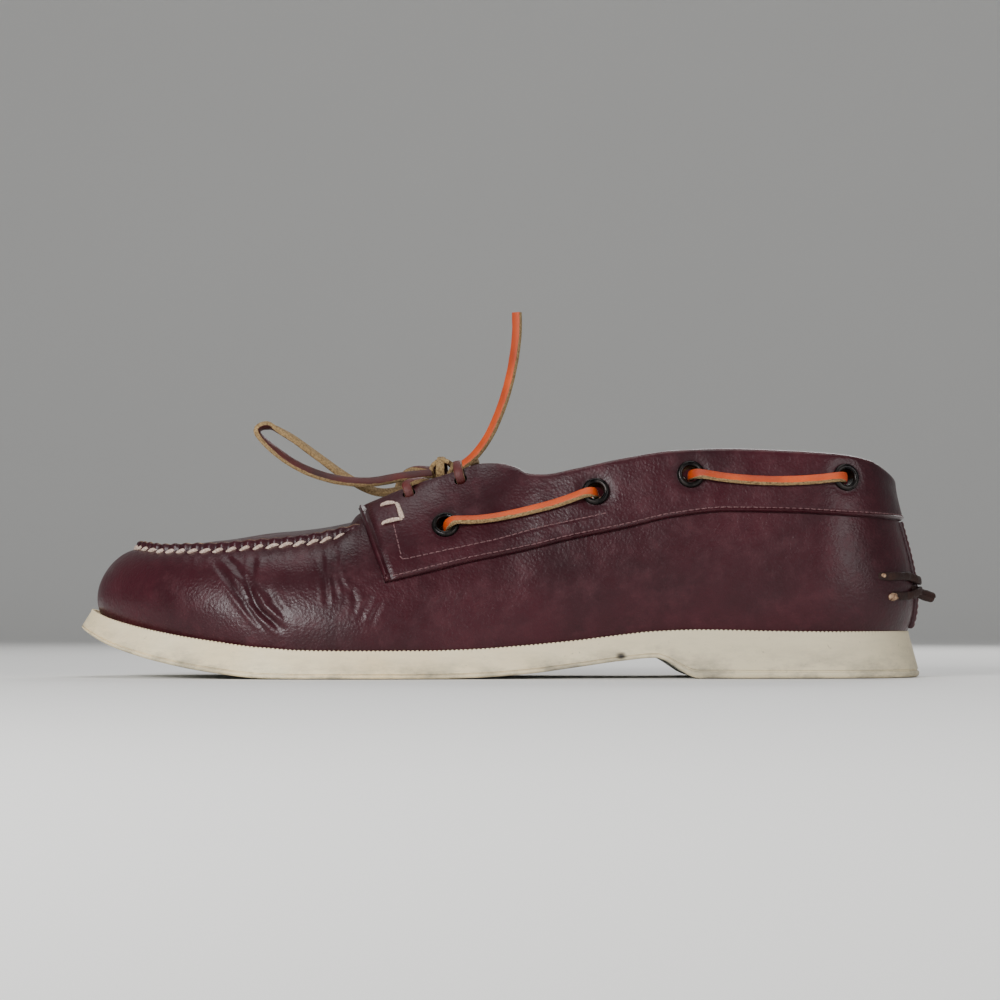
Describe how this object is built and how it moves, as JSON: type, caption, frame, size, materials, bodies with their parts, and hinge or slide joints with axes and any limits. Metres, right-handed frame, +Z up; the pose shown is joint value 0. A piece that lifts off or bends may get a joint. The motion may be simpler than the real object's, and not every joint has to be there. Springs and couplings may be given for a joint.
{
  "type": "boat shoe",
  "caption": "Low leather boat shoe with a moccasin apron, a laced saddle and collar band, rawhide side lacing and a pale rubber sole with a low heel.",
  "frame": {"origin": "on the floor under the middle of the shoe's box, with the free lace left out", "axes": "+X towards the toe, +Y towards the outer (little toe) side, +Z up"},
  "size_m": [0.3018, 0.1042, 0.1276],
  "materials": {
    "sole_rubber": "matte, finely moulded",
    "insole_leather": "matte",
    "upper_leather": "waxed, softly glossy",
    "tongue_leather": "soft satin",
    "lace_leather": "dry rawhide",
    "tie_leather": "dry rawhide",
    "eyelet_metal": "darkened, worn"
  },
  "bodies": {
    "root": {"outsole": "sole_rubber", "insole": "insole_leather", "upper": "upper_leather", "tongue": "tongue_leather", "saddle_band": "upper_leather", "backstay": "upper_leather", "lace_crossing": "lace_leather", "heel_tie": "tie_leather", "eyelet_lateral_1": "eyelet_metal", "eyelet_lateral_2": "eyelet_metal", "eyelet_lateral_3": "eyelet_metal", "eyelet_lateral_4": "eyelet_metal", "eyelet_medial_1": "eyelet_metal", "eyelet_medial_2": "eyelet_metal", "eyelet_medial_3": "eyelet_metal", "eyelet_medial_4": "eyelet_metal", "lace_run_lateral_front": "lace_leather", "lace_run_lateral_rear": "lace_leather", "lace_run_medial_front": "lace_leather", "lace_run_medial_rear": "lace_leather", "lace_knot": "lace_leather", "lace_loop_lateral": "lace_leather", "lace_loop_medial": "lace_leather", "lace_end_lateral": "lace_leather", "lace_end_medial": "lace_leather"}
  },
  "joints": []
}
